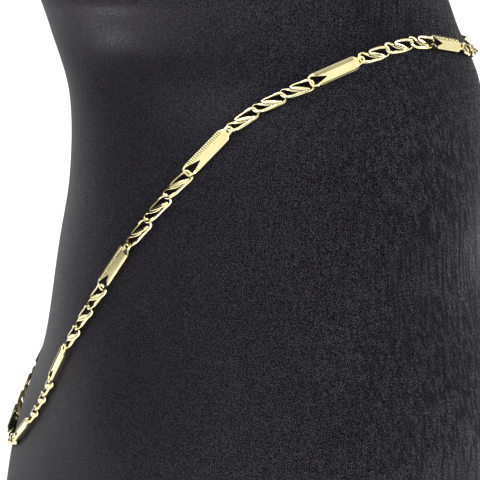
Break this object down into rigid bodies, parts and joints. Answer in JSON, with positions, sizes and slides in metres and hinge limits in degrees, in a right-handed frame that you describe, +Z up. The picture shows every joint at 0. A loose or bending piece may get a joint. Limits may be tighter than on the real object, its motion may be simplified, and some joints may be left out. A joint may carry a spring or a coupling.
{
  "type": "figaro chain necklace on a neck bust",
  "caption": "Closed figaro-pattern chain of short scroll links and long plate links, lying round the neck of a plain black leatherette display bust that stands on a flat base.",
  "frame": {"origin": "middle of the bust's flat base, under the neck's axis", "axes": "+Z up, -Y towards the front of the bust, +X towards the bust's left side, which the picture shows"},
  "size_m": [0.1844, 0.1402, 0.206],
  "materials": {
    "gold": "polished",
    "leatherette": "fine grain, satin"
  },
  "bodies": {
    "root": {"neck_bust": "leatherette", "scroll_trio_01": "gold", "scroll_trio_02": "gold", "scroll_trio_03": "gold", "scroll_trio_04": "gold", "scroll_trio_05": "gold", "scroll_trio_06": "gold", "scroll_trio_07": "gold", "scroll_trio_08": "gold", "scroll_trio_09": "gold", "scroll_trio_10": "gold", "scroll_trio_11": "gold", "scroll_trio_12": "gold", "scroll_trio_13": "gold", "plate_link_01": "gold", "plate_link_02": "gold", "plate_link_03": "gold", "plate_link_04": "gold", "plate_link_05": "gold", "plate_link_06": "gold", "plate_link_07": "gold", "plate_link_08": "gold", "plate_link_09": "gold", "plate_link_10": "gold", "plate_link_11": "gold", "plate_link_12": "gold", "plate_link_13": "gold", "clasp": "gold"}
  },
  "joints": []
}
